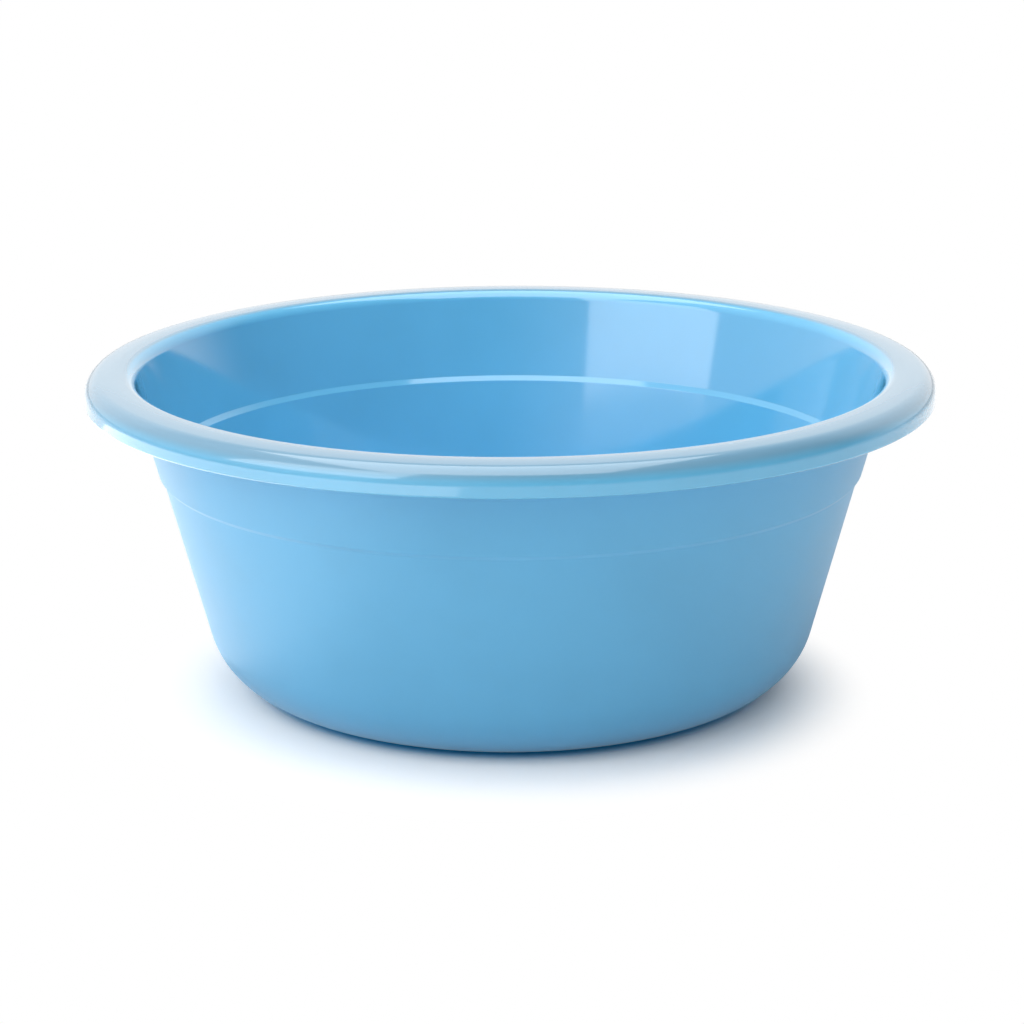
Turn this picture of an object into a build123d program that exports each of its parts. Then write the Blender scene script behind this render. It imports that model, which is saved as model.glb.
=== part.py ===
from build123d import *
import os
from math import radians, tan

# A round washing up bowl, moulded in one piece.
# The axis stands upright on Z, the floor is at height zero and the origin is the middle of the foot.
# All lengths are in millimetres and all drafts in degrees from upright.

# Skin of the moulding, measured level in the walls and upright in the base and the rim
skin = 2.0

# Rim: a crowned flange that turns down into a lip all round, open underneath
rim_diameter = 361.4
rim_edge_height = 136.9
rim_width = 20.5
rim_crown = 1.25
lip_spread = 0.1
lip_depth = 10.1
lip_rounding = 0.9
channel_rounding = 5.5

# Mouth: the inner edge of the rim, where the band begins
mouth_rise = 1.35
throat_rounding = 4.2

# Band: the upper wall, from the mouth down to the step
band_depth = 42.3
band_draft = 15.0

# Step outside, and the ledge that it makes inside
step_rise = 1.8
step_width = 1.75
step_rounding = 1.2
ledge_lift = 3.0
ledge_rise = 2.2
ledge_rounding = 1.2

# Wall and base
wall_draft = 14.7
base_rounding = 33.5

# Foot: a flat ring round a middle that stands clear of the floor
foot_width = 5.0
foot_slope = 4.0
foot_lift = 1.2
foot_rounding = 3.0

# Feed point: a dimple under the middle of the base with the nub that the mould leaves
feed_dimple_diameter = 12.0
feed_dimple_depth = 0.6
feed_nub_diameter = 3.0
feed_nub_height = 0.4


def spread(height, draft):
    """How much the radius of a drafted wall grows over a height."""
    return height * tan(radians(draft))


# Corners of the section, each as (radius, height), before they are rounded
rim_radius = rim_diameter / 2
rim_edge = (rim_radius - lip_spread, rim_edge_height)
lip_outer = (rim_radius, rim_edge_height - lip_depth)
lip_inner = (rim_radius - skin, rim_edge_height - lip_depth)
channel_edge = (rim_edge[0] - skin, rim_edge_height - skin)

mouth = (rim_radius - rim_width, rim_edge_height + mouth_rise)
throat = (mouth[0] + skin - spread(skin, band_draft), mouth[1] - skin)

shoulder_height = mouth[1] - band_depth
shoulder = (mouth[0] + skin - spread(band_depth, band_draft), shoulder_height)
crease_height = shoulder_height - step_rise
crease = (shoulder[0] - step_width, crease_height)
wall_foot = (crease[0] - spread(crease_height, wall_draft), 0)

ledge_height = crease_height + ledge_lift
ledge_top_height = ledge_height + ledge_rise
ledge_foot = (crease[0] + spread(ledge_lift, wall_draft) - skin, ledge_height)
ledge_top = (
    shoulder[0] + spread(ledge_top_height - shoulder_height, band_draft) - skin,
    ledge_top_height,
)
floor_corner = (wall_foot[0] + spread(skin, wall_draft) - skin, skin)

# The foot ring starts where the base rounding has come down to the floor
foot_outer_radius = wall_foot[0] - base_rounding * tan(radians((90 - wall_draft) / 2))
foot_inner_radius = foot_outer_radius - foot_width
recess_radius = foot_inner_radius - foot_slope

# Corners that are rounded, each with its radius
roundings = [
    ((recess_radius, foot_lift), foot_rounding),
    ((foot_inner_radius, 0), foot_rounding),
    (wall_foot, base_rounding),
    (crease, step_rounding),
    (shoulder, step_rounding),
    (throat, throat_rounding),
    (channel_edge, channel_rounding),
    (lip_inner, lip_rounding),
    (lip_outer, lip_rounding),
    (rim_edge, channel_rounding + skin),
    (mouth, throat_rounding + skin),
    (ledge_top, ledge_rounding),
    (ledge_foot, ledge_rounding),
    (floor_corner, base_rounding - skin),
    ((foot_inner_radius, skin), foot_rounding),
    ((recess_radius, foot_lift + skin), foot_rounding),
]

with BuildPart() as bowl:
    with BuildSketch(Plane.XZ) as section:
        with BuildLine():
            # Underside and outside, from the middle of the base up to the rim
            Polyline(
                (0, foot_lift),
                (recess_radius, foot_lift),
                (foot_inner_radius, 0),
                wall_foot,
                crease,
                shoulder,
                throat,
            )
            # Rim: the channel's roof, the lip and the crown
            SagittaArc(throat, channel_edge, rim_crown)
            Polyline(channel_edge, lip_inner, lip_outer, rim_edge)
            SagittaArc(rim_edge, mouth, -rim_crown)
            # Inside, from the mouth down to the middle of the base
            Polyline(
                mouth,
                ledge_top,
                ledge_foot,
                floor_corner,
                (foot_inner_radius, skin),
                (recess_radius, foot_lift + skin),
                (0, foot_lift + skin),
                (0, foot_lift),
            )
        make_face()
        for corner, rounding in roundings:
            fillet(section.vertices().sort_by_distance(corner)[0], rounding)
    revolve(axis=Axis.Z)

    with BuildSketch(Plane.XY.offset(foot_lift)):
        Circle(feed_dimple_diameter / 2)
    extrude(amount=feed_dimple_depth, mode=Mode.SUBTRACT)
    with BuildSketch(Plane.XY.offset(foot_lift + feed_dimple_depth)):
        Circle(feed_nub_diameter / 2)
    extrude(amount=-feed_nub_height)

bowl.part.label = "bowl"
os.makedirs("parts", exist_ok=True)
export_step(bowl.part, "parts/bowl.step")
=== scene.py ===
from math import ceil, pi, radians, sin, sqrt, tan

import bmesh
import bpy
from mathutils import Euler, Matrix, Vector


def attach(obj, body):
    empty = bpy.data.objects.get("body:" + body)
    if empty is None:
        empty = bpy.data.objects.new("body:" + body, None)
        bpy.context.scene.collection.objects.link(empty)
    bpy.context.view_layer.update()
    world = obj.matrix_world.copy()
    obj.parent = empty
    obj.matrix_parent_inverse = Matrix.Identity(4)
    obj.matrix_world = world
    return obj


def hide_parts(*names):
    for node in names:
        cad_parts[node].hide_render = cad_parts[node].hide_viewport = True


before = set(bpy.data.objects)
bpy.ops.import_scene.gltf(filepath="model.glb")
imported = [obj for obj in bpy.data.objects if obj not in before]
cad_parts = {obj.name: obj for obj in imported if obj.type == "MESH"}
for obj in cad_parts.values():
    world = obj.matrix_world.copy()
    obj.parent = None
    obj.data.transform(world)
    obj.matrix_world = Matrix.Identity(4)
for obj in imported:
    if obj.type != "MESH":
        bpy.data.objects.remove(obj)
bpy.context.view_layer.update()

# A round light blue washing up bowl, moulded in one piece, on a white floor.
# Lengths are in metres. The section's points are (radius, height) from the bowl's axis and the floor.

mm = 0.001

# Sizes of the section, as in the solid
skin = 2.0 * mm
rim_radius = 180.7 * mm
rim_edge_height = 136.9 * mm
rim_width = 20.5 * mm
rim_crown = 1.25 * mm
lip_spread = 0.1 * mm
lip_depth = 10.1 * mm
lip_rounding = 0.9 * mm
channel_rounding = 5.5 * mm
mouth_rise = 1.35 * mm
throat_rounding = 4.2 * mm
band_depth = 42.3 * mm
band_draft = radians(15.0)
step_rise = 1.8 * mm
step_width = 1.75 * mm
step_rounding = 1.2 * mm
ledge_lift = 3.0 * mm
ledge_rise = 2.2 * mm
ledge_rounding = 1.2 * mm
wall_draft = radians(14.7)
base_rounding = 33.5 * mm
foot_width = 5.0 * mm
foot_slope = 4.0 * mm
foot_lift = 1.2 * mm
foot_rounding = 3.0 * mm
feed_dimple_radius = 6.0 * mm
feed_dimple_depth = 0.6 * mm
feed_nub_radius = 1.5 * mm
feed_nub_height = 0.4 * mm

# How finely the rounded stretches are drawn, and how the mesh is joined up and shaded
quarter_steps = 64
arc_step = radians(4)
merge_distance = 0.001 * mm
shading_weight = 100


def point(radius, height):
    """A point of the section."""
    return Vector((radius, height))


def corner_arc(before, corner, after, radius):
    """The rounding of a corner between two straight stretches: its centre, its start and its end."""
    back = (before - corner).normalized()
    on = (after - corner).normalized()
    half = back.angle(on) / 2
    reach = radius / tan(half)
    centre = corner + (back + on).normalized() * radius / sin(half)
    return centre, corner + back * reach, corner + on * reach


def crown_circle(start, end, rise):
    """The circle of a crowned stretch, centre and radius, from its two ends and its rise between them."""
    chord = end - start
    radius = chord.length ** 2 / (8 * rise) + rise / 2
    up = Vector((-chord.y, chord.x)).normalized()
    if up.y < 0:
        up.negate()
    return (start + end) / 2 + up * (rise - radius), radius


def crown_end(corner, straight, radius, crown):
    """The rounding between a straight stretch and a crown: its centre, its end on each of the two."""
    crown_centre, crown_radius = crown
    along = (straight - corner).normalized()
    across = Vector((-along.y, along.x))
    if across.dot(crown_centre - corner) < 0:
        across.negate()
    offset = corner + across * radius - crown_centre
    slip = offset.dot(along)
    reach = -slip - sqrt(slip ** 2 - offset.length_squared + (crown_radius - radius) ** 2)
    centre = corner + across * radius + along * reach
    on_crown = crown_centre + (centre - crown_centre).normalized() * crown_radius
    return centre, centre - across * radius, on_crown


def turned_round(arc):
    """The same arc, drawn from its other end."""
    centre, start, end = arc
    return centre, end, start


# Corners of the section before they are rounded, named as in the solid
rim_edge = point(rim_radius - lip_spread, rim_edge_height)
lip_outer = point(rim_radius, rim_edge_height - lip_depth)
lip_inner = point(rim_radius - skin, rim_edge_height - lip_depth)
channel_edge = point(rim_edge.x - skin, rim_edge_height - skin)
mouth = point(rim_radius - rim_width, rim_edge_height + mouth_rise)
throat = point(mouth.x + skin - skin * tan(band_draft), mouth.y - skin)
shoulder = point(mouth.x + skin - band_depth * tan(band_draft), mouth.y - band_depth)
crease = point(shoulder.x - step_width, shoulder.y - step_rise)
wall_foot = point(crease.x - crease.y * tan(wall_draft), 0)
ledge_foot = point(crease.x + ledge_lift * tan(wall_draft) - skin, crease.y + ledge_lift)
ledge_top_height = ledge_foot.y + ledge_rise
ledge_top = point(shoulder.x + (ledge_top_height - shoulder.y) * tan(band_draft) - skin, ledge_top_height)
floor_corner = point(wall_foot.x + skin * tan(wall_draft) - skin, skin)
foot_outer_radius = wall_foot.x - base_rounding * tan((pi / 2 - wall_draft) / 2)
foot_inner = point(foot_outer_radius - foot_width, 0)
recess = point(foot_inner.x - foot_slope, foot_lift)
up_by_skin = point(0, skin)

rim_top = crown_circle(mouth, rim_edge, rim_crown)
channel_roof = crown_circle(throat, channel_edge, rim_crown)
mouth_arc = crown_end(mouth, ledge_top, throat_rounding + skin, rim_top)
rim_edge_arc = turned_round(crown_end(rim_edge, lip_outer, channel_rounding + skin, rim_top))
channel_edge_arc = crown_end(channel_edge, lip_inner, channel_rounding, channel_roof)
throat_arc = turned_round(crown_end(throat, shoulder, throat_rounding, channel_roof))
lip_inner_arc = corner_arc(lip_outer, lip_inner, channel_edge, lip_rounding)

# The shining side: from the middle of the floor up the inside, over the rim and round the lip
inside_arcs = [
    corner_arc(point(0, foot_lift + skin), recess + up_by_skin, foot_inner + up_by_skin, foot_rounding),
    corner_arc(recess + up_by_skin, foot_inner + up_by_skin, floor_corner, foot_rounding),
    corner_arc(foot_inner + up_by_skin, floor_corner, ledge_foot, base_rounding - skin),
    corner_arc(floor_corner, ledge_foot, ledge_top, ledge_rounding),
    corner_arc(ledge_foot, ledge_top, mouth, ledge_rounding),
    mouth_arc,
    (rim_top[0], mouth_arc[2], rim_edge_arc[1]),
    rim_edge_arc,
    corner_arc(rim_edge, lip_outer, lip_inner, lip_rounding),
    lip_inner_arc,
]

# The satin side: up the channel under the rim, down the outside and in under the foot
outside_arcs = [
    channel_edge_arc,
    (channel_roof[0], channel_edge_arc[2], throat_arc[1]),
    throat_arc,
    corner_arc(throat, shoulder, crease, step_rounding),
    corner_arc(shoulder, crease, wall_foot, step_rounding),
    corner_arc(crease, wall_foot, foot_inner, base_rounding),
    corner_arc(wall_foot, foot_inner, recess, foot_rounding),
    corner_arc(foot_inner, recess, point(0, foot_lift), foot_rounding),
]
feed_point_corners = [
    point(feed_dimple_radius, foot_lift),
    point(feed_dimple_radius, foot_lift + feed_dimple_depth),
    point(feed_nub_radius, foot_lift + feed_dimple_depth),
    point(feed_nub_radius, foot_lift + feed_dimple_depth - feed_nub_height),
    point(0, foot_lift + feed_dimple_depth - feed_nub_height),
]


def line_to(mesh, tip, end):
    """Draws a straight stretch of the section on from its tip, and gives the new tip."""
    drawn = bmesh.ops.extrude_vert_indiv(mesh, verts=[tip])["verts"][0]
    bmesh.ops.translate(mesh, verts=[drawn], vec=Vector((end.x, 0, end.y)) - drawn.co)
    return drawn


def arc_on(mesh, tip, arc):
    """Draws a straight stretch up to an arc and then the arc, and gives the new tip."""
    centre, start, end = arc
    tip = line_to(mesh, tip, start)
    turn = (end - centre).angle_signed(start - centre)
    spun = bmesh.ops.spin(
        mesh,
        geom=[tip],
        cent=(centre.x, 0, centre.y),
        axis=(0, -1, 0),
        angle=turn,
        steps=ceil(abs(turn) / arc_step),
    )
    return next(part for part in spun["geom_last"] if isinstance(part, bmesh.types.BMVert))


def turn_shell(mesh, start, arcs, corners, finish):
    """Draws one side of the section and turns it a quarter round the axis, with its faces in one finish."""
    before = set(mesh.verts)
    tip = bmesh.ops.create_vert(mesh, co=(start.x, 0, start.y))["vert"][0]
    for arc in arcs:
        tip = arc_on(mesh, tip, arc)
    for corner in corners:
        tip = line_to(mesh, tip, corner)
    drawn = [vert for vert in mesh.verts if vert not in before]
    edges = {edge for vert in drawn for edge in vert.link_edges}
    faces = set(mesh.faces)
    bmesh.ops.spin(
        mesh,
        geom=drawn + list(edges),
        cent=(0, 0, 0),
        axis=(0, 0, 1),
        angle=pi / 2,
        steps=quarter_steps,
    )
    for face in mesh.faces:
        if face not in faces:
            face.material_index = finish


def make_bowl():
    """The moulding: a quarter turned from its section, then mirrored to the whole round."""
    mesh = bmesh.new()
    turn_shell(mesh, point(0, foot_lift + skin), inside_arcs, [], 0)
    turn_shell(mesh, lip_inner_arc[2], outside_arcs, feed_point_corners, 1)
    for axis in ("X", "Y"):
        whole = mesh.verts[:] + mesh.edges[:] + mesh.faces[:]
        bmesh.ops.mirror(mesh, geom=whole, matrix=Matrix.Identity(4), merge_dist=merge_distance, axis=axis)
    bmesh.ops.remove_doubles(mesh, verts=mesh.verts, dist=merge_distance)
    bmesh.ops.recalc_face_normals(mesh, faces=mesh.faces)
    for face in mesh.faces:
        face.smooth = True
    data = bpy.data.meshes.new("bowl_moulding")
    mesh.to_mesh(data)
    mesh.free()
    bowl = bpy.data.objects.new("bowl_moulding", data)
    bpy.context.scene.collection.objects.link(bowl)
    even = bowl.modifiers.new("even_shading", "WEIGHTED_NORMAL")
    even.weight = shading_weight
    return bowl


# Colours, as linear light
inside_blue = (0.12, 0.445, 0.7, 1)
outside_blue = (0.11, 0.41, 0.67, 1)
# The rim's crown is painted a greyer blue: a painted sheen that stands in for the milky light the crown
# reflects
painted_crown_sheen_blue = (0.14, 0.31, 0.45, 1)
scuffed_blue = (0.27, 0.5, 0.74, 1)
white = (1, 1, 1, 1)
cloud_paleness = 1.06

# The plastic's finish: a clear gloss coat on the shining side, a dusty sheen on the satin side
plastic_ior = 1.49
coat_ior = 1.5
coat_roughness = 0.08
sheen_roughness = 0.5
gloss_roughness = 0.08
gloss_coat = 1.0
satin_roughness = 0.45
satin_sheen = 0.25

# How much clouds, scratches, the foot's wear and the crown's painted sheen add to the roughness where they
# are strongest
clouds_roughen = 0.04
scratches_roughen = 0.04
wear_and_sheen_roughen = 0.1

# Sizes of the plastic's surface detail
cloud_size = 60 * mm
ripple_size = 14 * mm
ripple_depth = 0.02 * mm
grain_size = 0.6 * mm
gloss_grain_depth = 0.0003 * mm
satin_grain_depth = 0.003 * mm
scratch_length = 30 * mm
scratch_width = 0.2 * mm
scratch_spacing = scratch_width * 4
scratch_depth = 0.0006 * mm
scratch_turns = [(0, 0, radians(25)), (0, radians(20), radians(115))]
scuff_size = 4 * mm

# How many finer layers each random pattern has
cloud_layers = 3
ripple_layers = 1
grain_layers = 2
scratch_layers = 1
scuff_layers = 5

# Values of the random patterns from which each kind of detail begins and is full
cloud_levels = (0.3, 0.7)
scratch_levels = (0.69, 0.74)
scuff_levels = (0.5, 0.75)

# Where the rim's crown gets a painted sheen, and where the lowest part of the foot is worn
crown_sheen_start = rim_radius - rim_width + 1.5 * mm
crown_sheen_edge = 2 * mm
crown_sheen_height = rim_edge_height - 0.5 * mm
below_crown_sheen_height = rim_edge_height - 5 * mm
scuffed_foot_height = 0.3 * mm

# Floor: its own colour, what the camera sees it lightened by near the bowl, and a painted dark blue contact
# shadow that the camera sees right around the foot
floor_size = 24
floor_white = (0.88, 0.88, 0.88, 1)
floor_seen = (1.42, 1.32, 1.25, 1)
painted_contact_shadow = (0.05, 0.6, 1, 1)
contact_start = 0.105
contact_end = 0.116
shadow_middle = (-0.005, -0.02, 0)
shadow_core = 0.115
shadow_reach = 0.162

# Strengths of the surroundings, for what they light and for what the gloss mirrors
lit_left = 1.2
lit_right = 0.45
mirrored_front = 0.15
mirrored_left = 1.1
mirrored_back = 1.15
mirrored_top = 0.3

# Between which directions each of those changes, as a level or upright share of the direction
lit_side = (0.9, -0.9)
left_side = (0.2, -0.8)
back_side = (0.1, 0.6)
back_rise = (0.9, 0.5)
top_rise = (0.6, 0.85)

# Lamps: the gloss half of each stands nearer to the bowl, so that the two halves don't hide each other
lamp_gap = 0.01
power_per_radiance = 4

# Camera, as fitted to the bowl's outline
sensor_width_mm = 36
lens_mm = 100.48
camera_place = (0, -1.19596, 0.40207)
camera_pan = 0.00044
camera_tilt = 0.2691
camera_roll = -0.00421


def add_node(tree, kind, inputs=None, **settings):
    """Adds a node to a material or a world. Each input gets a value, or what another node gives out."""
    node = tree.nodes.new(kind)
    for name, value in settings.items():
        setattr(node, name, value)
    for name, value in (inputs or {}).items():
        if isinstance(value, bpy.types.NodeSocket):
            tree.links.new(value, node.inputs[name])
        else:
            node.inputs[name].default_value = value
    return node


def reckon(tree, operation, *values):
    """Adds a sum, a product or the like of some values, and gives its result."""
    return add_node(tree, "ShaderNodeMath", dict(enumerate(values)), operation=operation).outputs[0]


def noise(tree, place, size, layers):
    """Adds a random pattern whose blots have a size, and gives its value from 0 to 1."""
    inputs = {"Vector": place, "Scale": 1 / size, "Detail": layers}
    return add_node(tree, "ShaderNodeTexNoise", inputs).outputs[0]


def fade(tree, value, start, end, low=0.0, high=1.0):
    """Adds a smooth change from low to high where a value goes from start to end, and gives its result."""
    inputs = {"Value": value, "From Min": start, "From Max": end, "To Min": low, "To Max": high}
    return add_node(tree, "ShaderNodeMapRange", inputs, interpolation_type="SMOOTHSTEP").outputs[0]


def mix_colours(tree, share, first, second):
    """Adds a mix of two colours, from all of the first at share 0 to all of the second at share 1."""
    return add_node(tree, "ShaderNodeMix", {0: share, 6: first, 7: second}, data_type="RGBA").outputs[2]


def height_of(tree, place):
    """Adds the height of a place over the floor, and gives it."""
    return add_node(tree, "ShaderNodeSeparateXYZ", {0: place}).outputs["Z"]


def scratches(tree, place, turn):
    """Adds fine straight scratches that run one way over the object, and gives how deep they are, 0 to 1."""
    turned = add_node(tree, "ShaderNodeMapping", {"Vector": place, "Rotation": turn}).outputs[0]
    drawn_out = (scratch_width / scratch_length, 1, 1)
    stretched = add_node(tree, "ShaderNodeMapping", {"Vector": turned, "Scale": drawn_out}).outputs[0]
    return fade(tree, noise(tree, stretched, scratch_spacing, scratch_layers), *scratch_levels)


def painted_crown_sheen(tree, place):
    """Adds how much painted sheen the rim's crown gets, from 0 on the rest of the bowl to 1, and gives it.
    """
    level = add_node(tree, "ShaderNodeVectorMath", {0: place, 1: (1, 1, 0)}, operation="MULTIPLY").outputs[0]
    radius = add_node(tree, "ShaderNodeVectorMath", {0: level}, operation="LENGTH").outputs["Value"]
    out = fade(tree, radius, crown_sheen_start, crown_sheen_start + crown_sheen_edge)
    high = fade(tree, height_of(tree, place), below_crown_sheen_height, crown_sheen_height)
    return reckon(tree, "MULTIPLY", out, high)


def scuffed(tree, place):
    """Adds how much the foot is scuffed, in patches from 0 to 1, and gives it."""
    patches = fade(tree, noise(tree, place, scuff_size, scuff_layers), *scuff_levels)
    low = fade(tree, height_of(tree, place), scuffed_foot_height, 0)
    return reckon(tree, "MULTIPLY", patches, low)


def make_plastic(name, colour, wear_and_sheen_colour, wear_and_sheen_at, roughness, coat, sheen, grain_depth):
    """Moulded plastic: a little cloudy, faintly rippled and grained, scratched, and in places a second
    colour: wear on the foot, a painted sheen on the rim's crown.
    """
    material = bpy.data.materials.new(name)
    material.use_nodes = True
    tree = material.node_tree
    shader = tree.nodes["Principled BSDF"]
    shader.inputs["IOR"].default_value = plastic_ior
    shader.inputs["Sheen Weight"].default_value = sheen
    shader.inputs["Sheen Roughness"].default_value = sheen_roughness
    shader.inputs["Coat Weight"].default_value = coat
    shader.inputs["Coat IOR"].default_value = coat_ior
    shader.inputs["Coat Roughness"].default_value = coat_roughness
    place = add_node(tree, "ShaderNodeTexCoord").outputs["Object"]

    clouds = fade(tree, noise(tree, place, cloud_size, cloud_layers), *cloud_levels)
    scratched = reckon(tree, "MAXIMUM", *[scratches(tree, place, turn) for turn in scratch_turns])
    # On the shining side this mask places the crown's painted sheen, on the satin side the wear on the foot
    wear_and_sheen = wear_and_sheen_at(tree, place)

    paler = [part * cloud_paleness for part in colour[:3]] + [1]
    cloudy = mix_colours(tree, clouds, colour, paler)
    tree.links.new(mix_colours(tree, wear_and_sheen, cloudy, wear_and_sheen_colour), shader.inputs["Base Color"])

    rough = reckon(tree, "MULTIPLY_ADD", clouds, clouds_roughen, roughness)
    rough = reckon(tree, "MULTIPLY_ADD", scratched, scratches_roughen, rough)
    rough = reckon(tree, "MULTIPLY_ADD", wear_and_sheen, wear_and_sheen_roughen, rough)
    tree.links.new(rough, shader.inputs["Roughness"])

    relief = reckon(tree, "MULTIPLY", noise(tree, place, ripple_size, ripple_layers), ripple_depth)
    grain = noise(tree, place, grain_size, grain_layers)
    relief = reckon(tree, "MULTIPLY_ADD", grain, grain_depth, relief)
    relief = reckon(tree, "MULTIPLY_ADD", scratched, -scratch_depth, relief)
    bump = add_node(tree, "ShaderNodeBump", {"Height": relief, "Strength": 1.0, "Distance": 1.0})
    tree.links.new(bump.outputs[0], shader.inputs["Normal"])
    return material


def make_floor_material():
    """White that keeps the bowl's shadow. For the camera alone, it is plain white away from the shadow."""
    material = bpy.data.materials.new("white_floor")
    material.use_nodes = True
    tree = material.node_tree
    tree.nodes.clear()
    place = add_node(tree, "ShaderNodeTexCoord").outputs["Object"]
    away = add_node(tree, "ShaderNodeVectorMath", {0: place}, operation="LENGTH").outputs["Value"]
    seen = add_node(tree, "ShaderNodeLightPath").outputs["Is Camera Ray"]
    from_shadow = add_node(tree, "ShaderNodeVectorMath", {0: place, 1: shadow_middle}, operation="DISTANCE")
    past_shadow = fade(tree, from_shadow.outputs["Value"], shadow_core, shadow_reach)
    plain = reckon(tree, "MULTIPLY", seen, past_shadow)
    # For the camera, a painted dark blue contact shadow right around the foot, then the lightened floor
    shaded = mix_colours(tree, fade(tree, away, contact_start, contact_end), painted_contact_shadow, floor_seen)
    colour = mix_colours(tree, seen, floor_white, shaded)
    near = add_node(tree, "ShaderNodeBsdfDiffuse", {"Color": colour}).outputs[0]
    far = add_node(tree, "ShaderNodeEmission", {"Color": white, "Strength": 1.0}).outputs[0]
    whole = add_node(tree, "ShaderNodeMixShader", {0: plain, 1: near, 2: far}).outputs[0]
    add_node(tree, "ShaderNodeOutputMaterial", {"Surface": whole})
    return material


def make_floor():
    """A wide white floor for the bowl to stand on."""
    mesh = bmesh.new()
    bmesh.ops.create_grid(mesh, x_segments=1, y_segments=1, size=floor_size / 2)
    data = bpy.data.meshes.new("floor")
    mesh.to_mesh(data)
    mesh.free()
    floor = bpy.data.objects.new("floor", data)
    bpy.context.scene.collection.objects.link(floor)
    floor.data.materials.append(make_floor_material())


def make_world():
    """White for the camera, a pale tent for what it lights, and a studio with a dark front in the gloss."""
    world = bpy.data.worlds.new("studio")
    bpy.context.scene.world = world
    world.use_nodes = True
    tree = world.node_tree
    tree.nodes.clear()
    place = add_node(tree, "ShaderNodeTexCoord").outputs["Generated"]
    sides = add_node(tree, "ShaderNodeSeparateXYZ", {0: place}).outputs
    rays = add_node(tree, "ShaderNodeLightPath").outputs

    lit = fade(tree, sides["X"], *lit_side, lit_right, lit_left)
    left = fade(tree, sides["X"], *left_side, 0, mirrored_left)
    behind = fade(tree, sides["Y"], *back_side, 0, mirrored_back)
    back = reckon(tree, "MULTIPLY", behind, fade(tree, sides["Z"], *back_rise))
    top = fade(tree, sides["Z"], *top_rise, mirrored_front, mirrored_top)
    mirrored = reckon(tree, "ADD", reckon(tree, "MAXIMUM", left, back), top)

    light = add_node(tree, "ShaderNodeBackground", {"Strength": lit}).outputs[0]
    gloss = add_node(tree, "ShaderNodeBackground", {"Strength": mirrored}).outputs[0]
    shown = add_node(tree, "ShaderNodeBackground", {"Color": white}).outputs[0]
    unseen = add_node(tree, "ShaderNodeMixShader", {0: rays["Is Glossy Ray"], 1: light, 2: gloss}).outputs[0]
    whole = add_node(tree, "ShaderNodeMixShader", {0: rays["Is Camera Ray"], 1: unseen, 2: shown}).outputs[0]
    add_node(tree, "ShaderNodeOutputWorld", {"Surface": whole})


def make_lamp(name, place, turn, width, height, lit, mirrored):
    """A soft lamp, invisible to the camera, with one strength for what it lights and one for the gloss."""
    facing = Euler(turn).to_matrix() @ Vector((0, 0, -1))
    for part, radiance, nearer in (("light", lit, 0), ("gloss", mirrored, lamp_gap)):
        if not radiance:
            continue
        data = bpy.data.lights.new(name + "_" + part, "AREA")
        data.shape = "RECTANGLE"
        data.size = width
        data.size_y = height
        data.energy = radiance * power_per_radiance * width * height
        lamp = bpy.data.objects.new(data.name, data)
        bpy.context.scene.collection.objects.link(lamp)
        lamp.location = Vector(place) + facing * nearer
        lamp.rotation_euler = turn
        lamp.visible_camera = False
        lamp.visible_diffuse = part == "light"
        lamp.visible_glossy = part == "gloss"


def make_softbox(name, start, end, bottom, top, lit, mirrored):
    """A soft lamp that stands upright over a line on the floor and shines towards the bowl."""
    along = Vector(end) - Vector(start)
    middle = (Vector(start) + Vector(end)) / 2
    across = Vector((-along.y, along.x))
    if across.dot(middle) > 0:
        across.negate()
    turn = across.to_3d().to_track_quat("-Z", "Y").to_euler()
    place = (middle.x, middle.y, (bottom + top) / 2)
    make_lamp(name, place, turn, along.length, top - bottom, lit, mirrored)


def make_camera():
    """The camera, 1.2 m in front of the bowl's axis and looking down by about 15 degrees."""
    data = bpy.data.cameras.new("camera")
    data.sensor_width = sensor_width_mm
    data.lens = lens_mm
    camera = bpy.data.objects.new("camera", data)
    bpy.context.scene.collection.objects.link(camera)
    camera.location = camera_place
    level = Matrix.Rotation(-camera_pan, 4, "Z") @ Matrix.Rotation(pi / 2 - camera_tilt, 4, "X")
    camera.rotation_euler = (level @ Matrix.Rotation(camera_roll, 4, "Z")).to_euler()
    bpy.context.scene.camera = camera


# The shining side gets the painted sheen on the rim's crown, the satin side real wear on the foot
gloss_blue = make_plastic(
    "gloss_blue",
    inside_blue,
    painted_crown_sheen_blue,
    painted_crown_sheen,
    roughness=gloss_roughness,
    coat=gloss_coat,
    sheen=0,
    grain_depth=gloss_grain_depth,
)
satin_blue = make_plastic(
    "satin_blue",
    outside_blue,
    scuffed_blue,
    scuffed,
    roughness=satin_roughness,
    coat=0,
    sheen=satin_sheen,
    grain_depth=satin_grain_depth,
)

bowl = make_bowl()
bowl.data.materials.append(gloss_blue)
bowl.data.materials.append(satin_blue)
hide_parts("bowl")
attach(bowl, "root")

make_floor()
make_world()
make_softbox(
    "front_left_softbox",
    start=(-0.63, -1.18),
    end=(-1.8, -0.48),
    bottom=0.5,
    top=1.7,
    lit=0.75,
    mirrored=1.7,
)
make_lamp(
    "overhead_softbox",
    place=(-0.1, -0.05, 1.6),
    turn=(0, 0, 0),
    width=1.4,
    height=1.9,
    lit=2.1,
    mirrored=1.9,
)
make_lamp(
    "left_card",
    place=(-0.44, -0.3, 0.002),
    turn=(pi, 0, 0),
    width=0.62,
    height=1.2,
    lit=0,
    mirrored=1.0,
)
make_camera()

bpy.context.scene.view_settings.view_transform = "Standard"
